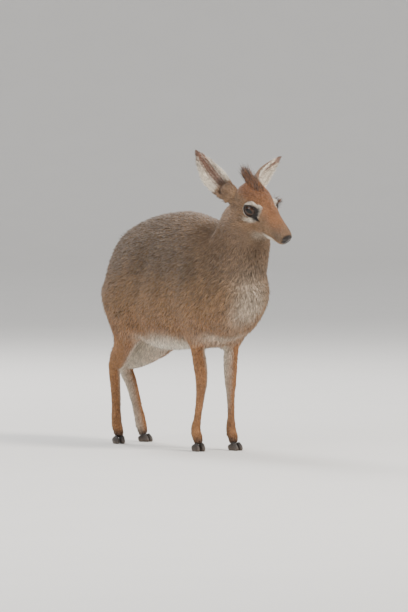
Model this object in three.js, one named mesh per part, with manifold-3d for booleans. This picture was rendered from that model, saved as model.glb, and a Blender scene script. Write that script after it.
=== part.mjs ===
// A dik-dik doe, life size, standing with her head up and turned a little to her left.
// Millimetres, +Z up. She faces -Y and her left side is +X. The origin is on the floor under the middle of
// her box. The outlines run to the tips of her coat.
import * as THREE from "three";
import { mergeVertices } from "three/addons/utils/BufferGeometryUtils.js";
import Module from "manifold-3d";

const wasm = await Module();
wasm.setup();

// Driving dimensions.
const GAP = 0.4;
const FLOOR_MIDDLE = { x: 2.6, forward: 5.5 };

// The head's own frame: its origin is midway between the eyes, and it is turned, lowered and tilted from there.
const HEAD_AT = { x: 6, forward: 193, up: 392 };
const HEAD_TURN = 9;
const HEAD_DROP = 35;
const HEAD_TILT = 7;

// Eyes, ears and crest, in the head's frame: aside is to each side, forward along the muzzle.
const EYE = { radius: 11.5, aside: 20.5, forward: 0, up: 0 };
const EAR = { aside: 23, forward: -45, up: -8, wide: 17.5, bow: 4, deep: 13, thick: 2.4, facing: 38 };
const EARS = {
  left: { side: 1, length: 90, out: 65, back: 22, up: 60 },
  right: { side: -1, length: 95, out: 55, back: 26, up: 76 },
};
const CREST = { forward: -34, up: 22, length: 44 };

// Feet: how far left and forward each stands and how far its toes turn to her left.
const FEET = {
  fore_left: { side: 1, x: 29, forward: 72, turn: 8 },
  fore_right: { side: -1, x: -31, forward: 60, turn: -8 },
  hind_left: { side: 1, x: 30, forward: -202, turn: 15 },
  hind_right: { side: -1, x: -30, forward: -181, turn: -15 },
};
const CLAW = { apart: 5.4, wide: 4.9, length: 25, coronet: 13, slant: 28 };

const COLOURS = {
  coat: 0x8a765e,
  neck: 0x8f7555,
  head: 0x9a7148,
  leg: 0xb08a5e,
  ear: 0x9b8668,
  tail: 0x8a765e,
  crest: 0x6e4a2c,
  eye: 0x140d09,
  horn: 0x1c1714,
};

const radians = THREE.MathUtils.degToRad;
const lerp = THREE.MathUtils.lerp;

// A point from how far left, forward and up it is.
function place(x, forward, up) {
  return new THREE.Vector3(x - FLOOR_MIDDLE.x, FLOOR_MIDDLE.forward - forward, up);
}

// The head's frame: x to her left, y along the muzzle and z out of the crown.
const headFrame = new THREE.Matrix4().compose(
  place(HEAD_AT.x, HEAD_AT.forward, HEAD_AT.up),
  new THREE.Quaternion()
    .setFromAxisAngle(new THREE.Vector3(0, 0, 1), radians(HEAD_TURN))
    .multiply(new THREE.Quaternion().setFromAxisAngle(new THREE.Vector3(1, 0, 0), radians(HEAD_DROP)))
    .multiply(new THREE.Quaternion().setFromAxisAngle(new THREE.Vector3(0, 1, 0), radians(-HEAD_TILT))),
  new THREE.Vector3(1, 1, 1),
);

// A point of the head from how far left, along the muzzle and up it is.
function onHead(x, forward, up) {
  return new THREE.Vector3(x, -forward, up).applyMatrix4(headFrame);
}

// A closed surface over rings of equally many points, ending in a point at each end.
function closedOver(rings, first, last) {
  const sides = rings[0].length;
  const points = [first, ...rings.flat(), last];
  const index = [];
  const at = (ring, side) => 1 + ring * sides + (side % sides);
  for (let side = 0; side < sides; side++) {
    index.push(0, at(0, side + 1), at(0, side));
    index.push(points.length - 1, at(rings.length - 1, side), at(rings.length - 1, side + 1));
    for (let ring = 0; ring + 1 < rings.length; ring++) {
      index.push(at(ring, side), at(ring, side + 1), at(ring + 1, side));
      index.push(at(ring, side + 1), at(ring + 1, side + 1), at(ring + 1, side));
    }
  }
  return new THREE.BufferGeometry().setFromPoints(points).setIndex(index);
}

// One cross-section: half as wide as wide, reaching up above its centre and down below it. Power 2 is an
// ellipse, and more is squarer.
function section(centre, across, above, size, sides, grown) {
  const ring = [];
  for (let side = 0; side < sides; side++) {
    const turn = (2 * Math.PI * side) / sides;
    const bend = (v) => Math.sign(v) * Math.abs(v) ** (2 / size.power);
    const aside = bend(Math.cos(turn)) * (size.wide * size.share + grown);
    const reach = (Math.sin(turn) > 0 ? size.up : size.down) * size.share + grown;
    ring.push(centre.clone().addScaledVector(across, aside).addScaledVector(above, bend(Math.sin(turn)) * reach));
  }
  return ring;
}

// Where the rings of a mass lie along it, from 0 to 1, closer together over its two domed ends.
function ringPlaces(count, domes) {
  const places = [];
  const inDome = 3;
  for (let i = 1; i <= inDome; i++) places.push(domes[0] * (1 - Math.cos((i * Math.PI) / 2 / inDome)));
  const middle = count - 2 * inDome;
  for (let i = 1; i < middle; i++) places.push(lerp(domes[0], 1 - domes[1], i / middle));
  for (let i = inDome; i >= 1; i--) places.push(1 - domes[1] * (1 - Math.cos((i * Math.PI) / 2 / inDome)));
  return places;
}

// A mass of flesh along a smooth line through its stations. Each station is [point, wide, up, down, power].
function mass({ stations, sides = 16, rings = 16, domes = [0.1, 0.1], side = new THREE.Vector3(1, 0, 0) }, grown = 0) {
  const line = new THREE.CatmullRomCurve3(stations.map((s) => s[0]), false, "catmullrom", 0.5);
  const sizes = new THREE.CatmullRomCurve3(stations.map((s) => new THREE.Vector3(s[1], s[2], s[3])), false, "catmullrom", 0.5);
  const powers = stations.map((s) => s[4] ?? 2);
  const made = ringPlaces(rings, domes).map((t) => {
    const along = line.getTangent(t);
    const across = side.clone().addScaledVector(along, -side.dot(along)).normalize();
    const above = along.clone().cross(across);
    const [wide, up, down] = sizes.getPoint(t).toArray();
    const fromEnd = Math.min(t / domes[0], (1 - t) / domes[1], 1);
    const share = Math.sqrt(1 - (1 - fromEnd) ** 2);
    const step = Math.min(Math.floor(t * (powers.length - 1)), powers.length - 2);
    const power = lerp(powers[step], powers[step + 1], t * (powers.length - 1) - step);
    return section(line.getPoint(t), across, above, { wide, up, down, power, share }, sides, grown);
  });
  const ends = [line.getPoint(0), line.getPoint(1)];
  const outward = [line.getTangent(0).negate(), line.getTangent(1)];
  return closedOver(made, ends[0].addScaledVector(outward[0], grown), ends[1].addScaledVector(outward[1], grown));
}

// A closed geometry as a solid that can be joined and cut, and back.
function solid(geometry) {
  const bare = geometry.clone();
  bare.deleteAttribute("normal");
  bare.deleteAttribute("uv");
  const merged = mergeVertices(bare, 1e-3);
  return new wasm.Manifold(
    new wasm.Mesh({
      numProp: 3,
      vertProperties: merged.attributes.position.array,
      triVerts: new Uint32Array(merged.index.array),
    }),
  );
}

function geometryOf(made) {
  const { vertProperties, triVerts } = made.getMesh();
  const geometry = new THREE.BufferGeometry()
    .setAttribute("position", new THREE.BufferAttribute(vertProperties, 3))
    .setIndex(new THREE.BufferAttribute(triVerts, 1));
  const merged = mergeVertices(geometry, 0.01);
  const index = [];
  for (let i = 0; i < merged.index.count; i += 3) {
    const [a, b, c] = [0, 1, 2].map((corner) => merged.index.getX(i + corner));
    if (a !== b && b !== c && c !== a) index.push(a, b, c);
  }
  return merged.setIndex(index);
}

const joined = (solids) => solids.reduce((a, b) => a.add(b));

// A prism with a side-on outline of [forward, up] corners, between two distances to her left.
function sidePrism(corners, from, to) {
  const outline = new THREE.Shape(corners.map(([forward, up]) => new THREE.Vector2(forward, up)));
  const made = new THREE.ExtrudeGeometry(outline, { depth: to - from, bevelEnabled: false });
  const axes = new THREE.Matrix4().makeBasis(
    new THREE.Vector3(0, -1, 0), new THREE.Vector3(0, 0, 1), new THREE.Vector3(-1, 0, 0));
  return solid(made.applyMatrix4(axes).translate(...place(to, 0, 0).toArray()));
}

// A prism with an outline of [left, up] corners seen from the front, between two distances forward.
function frontPrism(corners, from, to) {
  const outline = new THREE.Shape(corners.map(([x, up]) => new THREE.Vector2(x, up)));
  const made = new THREE.ExtrudeGeometry(outline, { depth: to - from, bevelEnabled: false });
  return solid(made.rotateX(Math.PI / 2).translate(...place(0, from, 0).toArray()));
}

// The trunk, from rump to breast.
const trunk = {
  sides: 24,
  rings: 19,
  domes: [0.2, 0.2],
  stations: [
    [place(0, -200, 246), 62, 56, 46, 2],
    [place(0, -165, 250), 70, 98, 68, 1.75],
    [place(0, -115, 257), 77, 113, 91, 1.95],
    [place(0, -55, 262), 79, 121, 102, 2.1],
    [place(0, 5, 262), 76, 124, 97, 2.1],
    [place(0, 60, 262), 72, 111, 95, 2.1],
    [place(0, 120, 258), 73, 92, 82, 2.1],
    [place(0, 186, 254), 64, 66, 55, 2.1],
  ],
};

// The neck, from deep in the shoulders to the back of the skull.
const neck = {
  sides: 20,
  rings: 13,
  domes: [0.15, 0.15],
  stations: [
    [place(0, 70, 260), 54, 62, 66, 2.1],
    [place(0, 106, 288), 55, 54, 73, 2.1],
    [place(1, 134, 322), 50, 49, 61, 2],
    [place(3, 153, 358), 41, 49, 43, 2],
    [place(5, 168, 408), 33, 45, 38, 2],
  ],
};

// The head: brain case and face, then brows, cheeks and jaw.
const headSide = new THREE.Vector3(1, 0, 0).transformDirection(headFrame);
const skull = {
  sides: 20,
  rings: 17,
  domes: [0.16, 0.1],
  side: headSide,
  stations: [
    [onHead(0, -58, -6), 22, 24, 24, 2.1],
    [onHead(0, -34, -2), 28, 29, 30, 2.1],
    [onHead(0, -8, 0), 28, 25, 30, 2.2],
    [onHead(0, 16, -2), 22, 18, 25, 2.2],
    [onHead(0, 38, -4), 16.5, 16.5, 20, 2.2],
    [onHead(0, 60, -6), 13.5, 15, 17, 2.3],
    [onHead(0, 80, -9), 12, 13, 14, 2.4],
  ],
};

const browOf = (side) => ({
  sides: 10,
  rings: 8,
  domes: [0.4, 0.4],
  stations: [
    [onHead(side * 18, -17, 3), 10, 11, 13],
    [onHead(side * 19, 0, 1), 10, 12, 13],
    [onHead(side * 16, 14, -3), 8, 9, 10],
  ],
});

const jaw = {
  sides: 16,
  rings: 11,
  domes: [0.25, 0.15],
  side: headSide,
  stations: [
    [onHead(0, -40, -22), 24, 20, 22, 2.1],
    [onHead(0, -8, -24), 22, 20, 18, 2.1],
    [onHead(0, 25, -22), 14, 16, 11.5, 2.1],
    [onHead(0, 66, -20), 8.5, 10, 8, 2.1],
  ],
};

// The direction to her left across a foot whose toes are turned.
const acrossFoot = (turn) => new THREE.Vector3(Math.cos(radians(turn)), Math.sin(radians(turn)), 0);

// A fore leg, from the shoulder blade down to the foot.
function foreLeg({ side, x, forward, turn }) {
  return {
    sides: 12,
    rings: 22,
    domes: [0.12, 0.02],
    side: acrossFoot(turn),
    stations: [
      [place(side * 46, 74, 300), 24, 42, 40, 2.1],
      [place(side * 52, 86, 258), 27, 50, 50, 2.1],
      [place(side * 43, 74, 212), 24, 38, 40, 2.1],
      [place(side * 34, 69, 176), 15, 18, 26],
      [place(side * 30, 69, 148), 11.5, 12, 13.5],
      [place(side * 28, 71, 122), 9.8, 10.2, 10.8],
      [place(side * 28, 71, 108), 9, 9.8, 9.8],
      [place(side * 28, lerp(71, forward, 0.3), 86), 7, 7.2, 7.8],
      [place(lerp(side * 28, x, 0.6), lerp(71, forward, 0.8), 54), 6.7, 6.6, 7.6],
      [place(x, forward - 1, 35), 7.8, 8, 9],
      [place(x, forward + 4, 23), 7.4, 7.2, 7.6],
      [place(x, forward + 9, 9), 8.6, 8, 8],
    ],
  };
}

// A hind leg, from the hip down to the foot, with the hocks closer together than the feet.
const HOCK = { aside: 17, behind: 28 };

function hindLeg({ side, x, forward, turn }) {
  const hockForward = forward - HOCK.behind;
  return {
    sides: 12,
    rings: 24,
    domes: [0.1, 0.02],
    side: acrossFoot(turn),
    stations: [
      [place(side * 38, -118, 304), 20, 40, 38, 2.1],
      [place(side * 47, -132, 258), 34, 52, 60, 2.2],
      [place(side * 44, -134, 226), 33, 60, 54, 2.2],
      [place(side * 38, -142, 192), 25, 46, 36, 2.1],
      [place(side * 29, -164, 164), 15, 30, 28, 2],
      [place(side * 20, hockForward + 16, 144), 10.5, 26, 20, 2],
      [place(side * HOCK.aside, hockForward, 126), 9.4, 15, 16, 2],
      [place(lerp(side * HOCK.aside, x, 0.35), lerp(hockForward, forward, 0.3), 102), 7.8, 11, 12.5, 2],
      [place(lerp(side * HOCK.aside, x, 0.7), lerp(hockForward, forward, 0.7), 66), 7.2, 9.6, 10, 2],
      [place(x, forward - 2, 36), 8, 9.4, 10.4, 2],
      [place(x, forward + 3, 23), 7.6, 7.6, 8, 2],
      [place(x, forward + 9, 9), 8.6, 8, 8, 2],
    ],
  };
}

// The point of the hock, with the tendon that runs down to it.
function hockPoint({ side, forward, turn }) {
  const hockForward = forward - HOCK.behind;
  return {
    sides: 10,
    rings: 9,
    domes: [0.15, 0.25],
    side: acrossFoot(turn),
    stations: [
      [place(side * 28, hockForward + 40, 190), 6, 9, 7],
      [place(side * 21, hockForward + 13, 171), 6, 9, 6],
      [place(side * 16, hockForward - 8, 155), 6.5, 9, 6],
      [place(side * 15, hockForward - 9, 138), 6.5, 7, 6],
    ],
  };
}

const tail = {
  sides: 10,
  rings: 9,
  domes: [0.1, 0.3],
  stations: [
    [place(0, -172, 340), 9, 8, 8],
    [place(0, -196, 322), 12, 8, 9],
    [place(0, -210, 296), 11, 8, 9],
    [place(0, -213, 266), 6, 5, 6],
  ],
};

// The tuft of long hair on the crown.
const crest = {
  sides: 12,
  rings: 9,
  domes: [0.2, 0.5],
  side: headSide,
  stations: [
    [onHead(0, CREST.forward + 4, CREST.up - 8), 13, 18, 16],
    [onHead(0, CREST.forward - 0.3 * CREST.length, CREST.up), 12, 15, 11],
    [onHead(0, CREST.forward - 0.65 * CREST.length, CREST.up + 6), 7, 9, 7],
    [onHead(0, CREST.forward - CREST.length, CREST.up + 10), 2, 3, 2],
  ],
};

// An ear is a leaf rolled into a cup: each ring runs round the back of the leaf and returns inside it.
function ear({ side, length, out, back, up }) {
  const lean = new THREE.Vector3(side * out, back, up).normalize();
  const turned = radians(HEAD_TURN + side * EAR.facing);
  const facing = new THREE.Vector3(Math.sin(turned), -Math.cos(turned), 0);
  facing.addScaledVector(lean, -facing.dot(lean)).normalize();
  const across = facing.clone().cross(lean);
  const base = onHead(side * EAR.aside, EAR.forward, EAR.up);
  const ringCount = 12;
  const arcSteps = 7;
  const wideAt = new THREE.SplineCurve(
    [[0, 0.7], [0.15, 0.82], [0.35, 1], [0.5, 0.97], [0.7, 0.7], [0.88, 0.34], [1, 0.05]].map(
      ([t, share]) => new THREE.Vector2(t, share)));
  const rings = [];
  for (let ring = 0; ring < ringCount; ring++) {
    const { x: along, y: share } = wideAt.getPoint(ring / (ringCount - 1));
    const wide = EAR.wide * share;
    const deep = Math.min(EAR.deep, wide * (along < 0.2 ? 1.1 - 1.5 * along : 0.8));
    const thick = Math.min(along < 0.1 ? 0.8 * wide : EAR.thick, 0.4 * wide);
    const centre = base.clone().addScaledVector(lean, along * length);
    centre.addScaledVector(facing, -6 * Math.sin(Math.PI * along));
    centre.addScaledVector(across, -side * EAR.bow * Math.sin(Math.PI * along));
    const points = [];
    for (let step = 0; step <= arcSteps; step++) {
      const turn = Math.PI * (step / arcSteps - 0.5);
      points.push([wide * Math.sin(turn), -deep * Math.cos(turn)]);
    }
    for (let step = arcSteps; step >= 0; step--) {
      const turn = Math.PI * (step / arcSteps - 0.5);
      points.push([(wide - thick) * Math.sin(turn), -(deep - thick) * Math.cos(turn)]);
    }
    rings.push(points.map(([aside, out]) =>
      centre.clone().addScaledVector(across, aside).addScaledVector(facing, out)));
  }
  const middleOf = (ring) => ring.reduce((sum, p) => sum.add(p), new THREE.Vector3()).divideScalar(ring.length);
  return closedOver(rings, middleOf(rings[0]), middleOf(rings[ringCount - 1]));
}

// One claw of a foot, before its sole and its top are cut, and the turn of the foot it stands in.
function inFoot({ x, forward, turn }, aside, ahead, up) {
  return place(x, forward, up).addScaledVector(acrossFoot(turn), aside)
    .add(new THREE.Vector3(0, -ahead, 0).applyAxisAngle(new THREE.Vector3(0, 0, 1), radians(turn)));
}

function claw(foot, aside) {
  const at = (ahead, up, inward = 0) => inFoot(foot, aside * (1 - inward), ahead, up);
  return {
    sides: 8,
    rings: 8,
    domes: [0.2, 0.25],
    side: acrossFoot(foot.turn),
    stations: [
      [at(-1, 5), 0.9 * CLAW.wide, 7, 9],
      [at(7, 6), CLAW.wide, 10, 9],
      [at(15, 4, 0.08), 0.9 * CLAW.wide, 7.5, 8],
      [at(CLAW.length - 3, 2, 0.2), 0.5 * CLAW.wide, 2.5, 5],
    ],
  };
}

// Everything below the slanted line between a leg and its claws, or below the same line moved down by a gap.
function belowCoronet(foot, gap) {
  const slab = new THREE.BoxGeometry(60, 60, 60).translate(0, 0, -30 - gap);
  slab.rotateX(radians(-CLAW.slant)).rotateZ(radians(foot.turn));
  return solid(slab.translate(...inFoot(foot, 0, 9, CLAW.coronet).toArray()));
}

// The largest of the separate pieces of a solid, without the slivers that a cut leaves.
const largestOf = (whole) => whole.decompose().sort((a, b) => b.volume() - a.volume())[0];

// Everything under the floor.
const underFloor = solid(new THREE.BoxGeometry(900, 900, 100).translate(0, 0, -50));

// The flesh in one piece, without the tail, the crest, the ears, the eyes and the claws.
const headMasses = { skull, jaw, browLeft: browOf(1), browRight: browOf(-1) };
const bodyMasses = { trunk, neck };
for (const foot of Object.values(FEET)) {
  if (foot.forward > 0) {
    bodyMasses[`fore${foot.side}`] = foreLeg(foot);
  } else {
    bodyMasses[`hind${foot.side}`] = hindLeg(foot);
    bodyMasses[`hock${foot.side}`] = hockPoint(foot);
  }
}
const joinMasses = (masses, grown) => joined(Object.values(masses).map((shape) => solid(mass(shape, grown))));
const headGrown = joinMasses(headMasses, GAP);
const bodyGrown = joinMasses(bodyMasses, GAP);

// An eyeball, or its socket with some clearance.
const eyeball = (side, grown) => solid(new THREE.SphereGeometry(EYE.radius + grown, 18, 12)
  .translate(...onHead(side * EYE.aside, EYE.forward, EYE.up).toArray()));

let flesh = joinMasses({ ...bodyMasses, ...headMasses }, 0);
for (const side of [1, -1]) flesh = flesh.subtract(eyeball(side, GAP));
for (const foot of Object.values(FEET)) flesh = flesh.subtract(belowCoronet(foot, 0));

// The cuts between the nodes: prisms whose outlines run along the joints, and the same moved back by the gap.
const HEAD_JOINT = [[60, 433], [125, 391], [202, 349], [290, 305]];
const NECK_JOINT = [[20, 445], [75, 388], [190, 262], [250, 205]];
const LEG_JOINTS = {
  fore: { from: 28, to: 128, corners: [[11, 152], [30, 182], [110, 214]] },
  hind: { from: -270, to: -78, corners: [[7, 158], [12, 198], [34, 204], [110, 238]] },
};
const aheadOf = (joint, gap) => sidePrism(
  [...joint.map(([forward, up]) => [forward - gap, up - gap]), [500, 200], [500, 600], [60, 600]], -150, 150);
const legBlock = ({ side, forward }, gap) => {
  const { from, to, corners } = forward > 0 ? LEG_JOINTS.fore : LEG_JOINTS.hind;
  const outline = [[corners[0][0] - gap, -20], ...corners.map(([x, up]) => [x - gap, up + gap]), [110, -20]];
  return frontPrism(outline.map(([x, up]) => [side * x, up]), from - gap, to + gap);
};

const group = new THREE.Group();
function addNode(name, made, colour) {
  const mesh = new THREE.Mesh(geometryOf(made), new THREE.MeshStandardMaterial({ color: colour }));
  mesh.name = name;
  group.add(mesh);
}

addNode("head", flesh.intersect(aheadOf(HEAD_JOINT, 0)), COLOURS.head);
const headless = flesh.subtract(aheadOf(HEAD_JOINT, GAP));
addNode("neck", headless.intersect(aheadOf(NECK_JOINT, 0)), COLOURS.neck);
let torso = headless.subtract(aheadOf(NECK_JOINT, GAP));
for (const [where, foot] of Object.entries(FEET)) {
  const name = where.replace("_", "leg_");
  addNode(name, torso.intersect(legBlock(foot, 0)), COLOURS.leg);
  torso = torso.subtract(legBlock(foot, GAP));
  for (const [place, aside] of [["outer", foot.side], ["inner", -foot.side]]) {
    const made = solid(mass(claw(foot, aside * CLAW.apart))).intersect(belowCoronet(foot, GAP)).subtract(underFloor);
    addNode(`claw_${where}_${place}`, made, COLOURS.horn);
  }
}
addNode("trunk", torso, COLOURS.coat);
addNode("tail", solid(mass(tail)).subtract(bodyGrown), COLOURS.tail);
addNode("crest", solid(mass(crest)).subtract(headGrown), COLOURS.crest);
addNode("eye_left", eyeball(1, 0), COLOURS.eye);
addNode("eye_right", eyeball(-1, 0), COLOURS.eye);
for (const [name, sizes] of Object.entries(EARS)) {
  const cut = solid(ear(sizes)).subtract(headGrown).subtract(bodyGrown);
  addNode(`ear_${name}`, largestOf(cut), COLOURS.ear);
}
export default group;
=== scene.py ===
import math

import bpy
import numpy as np
import openvdb
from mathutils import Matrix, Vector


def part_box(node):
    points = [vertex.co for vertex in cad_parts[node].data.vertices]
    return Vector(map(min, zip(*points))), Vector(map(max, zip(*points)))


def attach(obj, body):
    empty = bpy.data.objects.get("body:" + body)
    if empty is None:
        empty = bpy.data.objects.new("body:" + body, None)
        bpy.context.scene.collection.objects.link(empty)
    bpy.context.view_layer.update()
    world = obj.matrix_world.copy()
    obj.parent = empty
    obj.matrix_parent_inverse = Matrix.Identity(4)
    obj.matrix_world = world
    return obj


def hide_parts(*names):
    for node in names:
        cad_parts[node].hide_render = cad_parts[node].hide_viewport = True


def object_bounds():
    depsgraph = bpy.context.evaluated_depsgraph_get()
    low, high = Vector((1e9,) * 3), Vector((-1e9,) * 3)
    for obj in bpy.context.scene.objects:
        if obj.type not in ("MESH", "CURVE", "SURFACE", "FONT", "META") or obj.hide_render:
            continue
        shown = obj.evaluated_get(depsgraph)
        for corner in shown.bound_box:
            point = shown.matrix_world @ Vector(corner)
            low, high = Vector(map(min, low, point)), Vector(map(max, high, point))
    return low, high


# A dik-dik doe in her coat. Lengths are millimetres until a mesh is made. In her own terms x is her left and
# forward her front. Shares run from 0 to 1.
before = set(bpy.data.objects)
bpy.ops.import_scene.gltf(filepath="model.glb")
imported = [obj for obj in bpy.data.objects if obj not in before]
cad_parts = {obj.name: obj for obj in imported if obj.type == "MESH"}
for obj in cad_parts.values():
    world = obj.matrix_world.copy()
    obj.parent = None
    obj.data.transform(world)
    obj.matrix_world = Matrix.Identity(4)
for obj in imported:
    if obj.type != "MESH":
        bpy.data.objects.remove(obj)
CAD_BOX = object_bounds()
MM = 0.001

# Her build, as the solids have it.
FLOOR_MIDDLE = {"x": 2.6, "forward": 5.5}
HEAD_AT = {"x": 6, "forward": 193, "up": 392}
HEAD_TURN, HEAD_DROP, HEAD_TILT = 9, 35, 7
EYE = {"radius": 11.5, "aside": 20.5}
EARS = {
    1: {"length": 90, "out": 65, "back": 22, "up": 60},
    -1: {"length": 95, "out": 55, "back": 26, "up": 76},
}
EAR_BASE = {"aside": 23, "forward": -45, "up": -8}
EAR_FACING = 38
CREST = {"forward": -34, "up": 22, "length": 44}
FEET = {
    "fore_left": {"side": 1, "x": 29, "forward": 72, "turn": 8},
    "fore_right": {"side": -1, "x": -31, "forward": 60, "turn": -8},
    "hind_left": {"side": 1, "x": 30, "forward": -202, "turn": 15},
    "hind_right": {"side": -1, "x": -30, "forward": -181, "turn": -15},
}
FLESH = ["trunk", "neck", "head", "tail", "foreleg_left", "foreleg_right", "hindleg_left", "hindleg_right"]
# The two grids meet on a slanted plane across the neck, through this point, with this normal.
COLLAR = {"forward": 150, "up": 352, "slope": 60}
BODY_VOXEL, HEAD_VOXEL, HOOF_VOXEL = 2.4, 0.95, 0.7
# How far each stretch of the body is smoothed, in voxels.
SMOOTHING = {"trunk": 3.0, "thin": 1.3, "shoulders": 6.0, "head": 1.9, "nape": 7.0, "ear": 0.5, "hoof": 1.0}
# How deep the skin lies under the tips of the coat, and how much more at the nape. The skin of the ears
# stands out a little, which keeps their thin rims whole.
SKIN_DEPTH = {"body": 6.0, "leg": 0.1, "tail": 1.5, "neck": 2.6, "muzzle": 1.1, "nape": 0.6, "ear": -0.35}
# Tufts: how many grow on a square millimetre, how long and wide they are, and how they rise and bend over.
TUFTS = {
    "trunk": {"density": 0.30, "length": 15.0, "width": 2.30, "lift": 0.42, "droop": 0.15},
    "leg": {"density": 1.05, "length": 5.5, "width": 1.05, "lift": 0.22, "droop": 0.10},
    "collar": {"density": 0.38, "length": 10.0, "width": 1.40, "lift": 0.42, "droop": 0.15},
    "cheek": {"density": 0.75, "length": 5.5, "width": 0.95, "lift": 0.27, "droop": 0.10},
    "nape": {"density": 0.75, "length": 10.5, "width": 1.45, "lift": 0.39, "droop": 0.10},
    "muzzle": {"density": 1.20, "length": 2.6, "width": 0.65, "lift": 0.19, "droop": 0.10},
    "ear": {"density": 0.85, "length": 3.4, "width": 0.70, "hollow_length": 6.4},
}
NOSTRIL = {"aside": 7.4, "forward": 80.5, "up": -8.5}
PUPIL = {"wide": 0.52, "tall": 0.3}
HOOF_TOP = 14
DEWCLAW = {"up": 27, "wide": 2.5, "deep": 2.4, "tall": 4.2, "lean": 1.2, "sunk": 0.9}
# The camera looks from her right front, a little above level, at the size that the photograph shows her.
CAMERA = {"azimuth": -33, "elevation": 2, "distance": 8.0, "frame_height": 0.987, "forward": 35.5, "up": 232}
# Lights: place and size in metres, watts and colour.
LIGHTS = {
    "key": {"at": (0.9, -2.9, 2.9), "size": 1.2, "power": 200, "colour": (1.0, 0.95, 0.88)},
    "fill": {"at": (-3.0, -1.2, 1.6), "size": 2.2, "power": 50, "colour": (0.92, 0.96, 1.0)},
    "rim": {"at": (0.4, 2.8, 2.6), "size": 1.4, "power": 120, "colour": (1.0, 1.0, 1.0)},
}


# Frames and small helpers.
def turned(axis, degrees):
    a = math.radians(degrees)
    c, s = math.cos(a), math.sin(a)
    i, j = [(1, 2), (2, 0), (0, 1)][axis]
    m = np.eye(3)
    m[i, i], m[j, j], m[i, j], m[j, i] = c, c, -s, s
    return m


def place(x, forward, up):
    return np.array([x - FLOOR_MIDDLE["x"], FLOOR_MIDDLE["forward"] - forward, up], float)


HEAD_AXES = turned(2, HEAD_TURN) @ turned(0, HEAD_DROP) @ turned(1, -HEAD_TILT)
HEAD_ORIGIN = place(HEAD_AT["x"], HEAD_AT["forward"], HEAD_AT["up"])


def on_head(x, forward, up):
    return HEAD_AXES @ np.array([x, -forward, up], float) + HEAD_ORIGIN


def head_direction(x, forward, up):
    return unit(HEAD_AXES @ np.array([x, -forward, up], float))


def in_head(points):
    """How far left, forward along the muzzle and up from between the eyes each point is."""
    local = (points - HEAD_ORIGIN) @ HEAD_AXES
    return local[..., 0], -local[..., 1], local[..., 2]


def in_body(points):
    """How far left, forward and up each point is."""
    return points[..., 0] + FLOOR_MIDDLE["x"], FLOOR_MIDDLE["forward"] - points[..., 1], points[..., 2]


def unit(v):
    v = np.asarray(v, float)
    return v / np.maximum(np.linalg.norm(v, axis=-1, keepdims=True), 1e-9)


def ramp(v, start, end):
    """0 at start and 1 at end, with a smooth rise between them, whichever is larger."""
    t = np.clip((v - start) / (end - start), 0, 1)
    return t * t * (3 - 2 * t)


def bell(v, middle, width):
    return np.exp(-(((v - middle) / width) ** 2))


def between(a, b, share):
    return a + (b - a) * share


def mix(a, b, share):
    """The same for colours and directions, with a share for each."""
    share = np.asarray(share)[..., None]
    return a * (1 - share) + b * share


def ripples(points, size, seed):
    """Soft noise from -1 to 1, with lumps about this size."""
    made = np.random.default_rng(seed)
    total = np.zeros(points.shape[:-1])
    for _ in range(7):
        wave = unit(made.normal(size=3)) * 2 * math.pi / size * made.uniform(0.6, 1.6)
        total += np.sin(points @ wave + made.uniform(0, 7))
    return total / 4


def above_collar(points):
    _, forward, up = in_body(points)
    a = math.radians(COLLAR["slope"])
    return (forward - COLLAR["forward"]) * math.cos(a) + (up - COLLAR["up"]) * math.sin(a)


def eye_axes(side):
    out = head_direction(side * 0.86, 0.46, 0.14)
    above = head_direction(0, 0.1, 1)
    above = unit(above - out * (above @ out))
    front = unit(np.cross(above, out)) * side
    return {"at": on_head(side * EYE["aside"], 0, 0), "out": out, "up": above, "front": front}


EYES = {side: eye_axes(side) for side in (1, -1)}


def eye_coordinates(points, side):
    """Distance from the eyeball's middle, and how far to the front, up and out in its own axes."""
    eye = EYES[side]
    away = points - eye["at"]
    far = np.linalg.norm(away, axis=-1)
    v = away / np.maximum(far, 1e-6)[..., None]
    return far, v @ eye["front"], v @ eye["up"], v @ eye["out"]


def lid_gap(front, up):
    """Below 1 between the lids. The opening is longer than high and drawn out towards the muzzle."""
    return (front / 0.8) ** 2 + (up / (0.64 * (1 - 0.3 * front))) ** 2


def ear_axes(side):
    ear = EARS[side]
    lean = unit([side * ear["out"], ear["back"], ear["up"]])
    a = math.radians(HEAD_TURN + side * EAR_FACING)
    facing = np.array([math.sin(a), -math.cos(a), 0])
    facing = unit(facing - lean * (facing @ lean))
    return {
        "at": on_head(side * EAR_BASE["aside"], EAR_BASE["forward"], EAR_BASE["up"]),
        "lean": lean, "facing": facing, "across": np.cross(facing, lean), "length": ear["length"],
    }


EAR_AXES = {side: ear_axes(side) for side in EARS}


def ear_coordinates(points, side):
    """How far along the ear, from 0 to 1, and how far across and out of its hollow side each point is."""
    ear = EAR_AXES[side]
    away = points - ear["at"]
    return (away @ ear["lean"]) / ear["length"], away @ ear["across"], away @ ear["facing"]


def on_an_ear(points):
    """1 on the ears, with the side each point is nearer to."""
    x, _, _ = in_head(points)
    side = np.where(x > 0, 1, -1)
    share = np.zeros(points.shape[:-1])
    for s in (1, -1):
        along, across, out = ear_coordinates(points, s)
        inside = ramp(along, 0.2, 0.3) * (np.abs(across) < 26) * (np.abs(out) < 28)
        share = np.where(side == s, inside, share)
    return share, side


# Solids as fields on grids: each value is how far outside the surface a point is.
def node_mesh(names):
    points, triangles, start = [], [], 0
    for name in names:
        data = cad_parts[name].data
        co = np.zeros(len(data.vertices) * 3, np.float32)
        data.vertices.foreach_get("co", co)
        data.calc_loop_triangles()
        index = np.zeros(len(data.loop_triangles) * 3, np.int32)
        data.loop_triangles.foreach_get("vertices", index)
        points.append(co.reshape(-1, 3) / MM)
        triangles.append(index.reshape(-1, 3) + start)
        start += len(data.vertices)
    return np.concatenate(points), np.concatenate(triangles)


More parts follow.
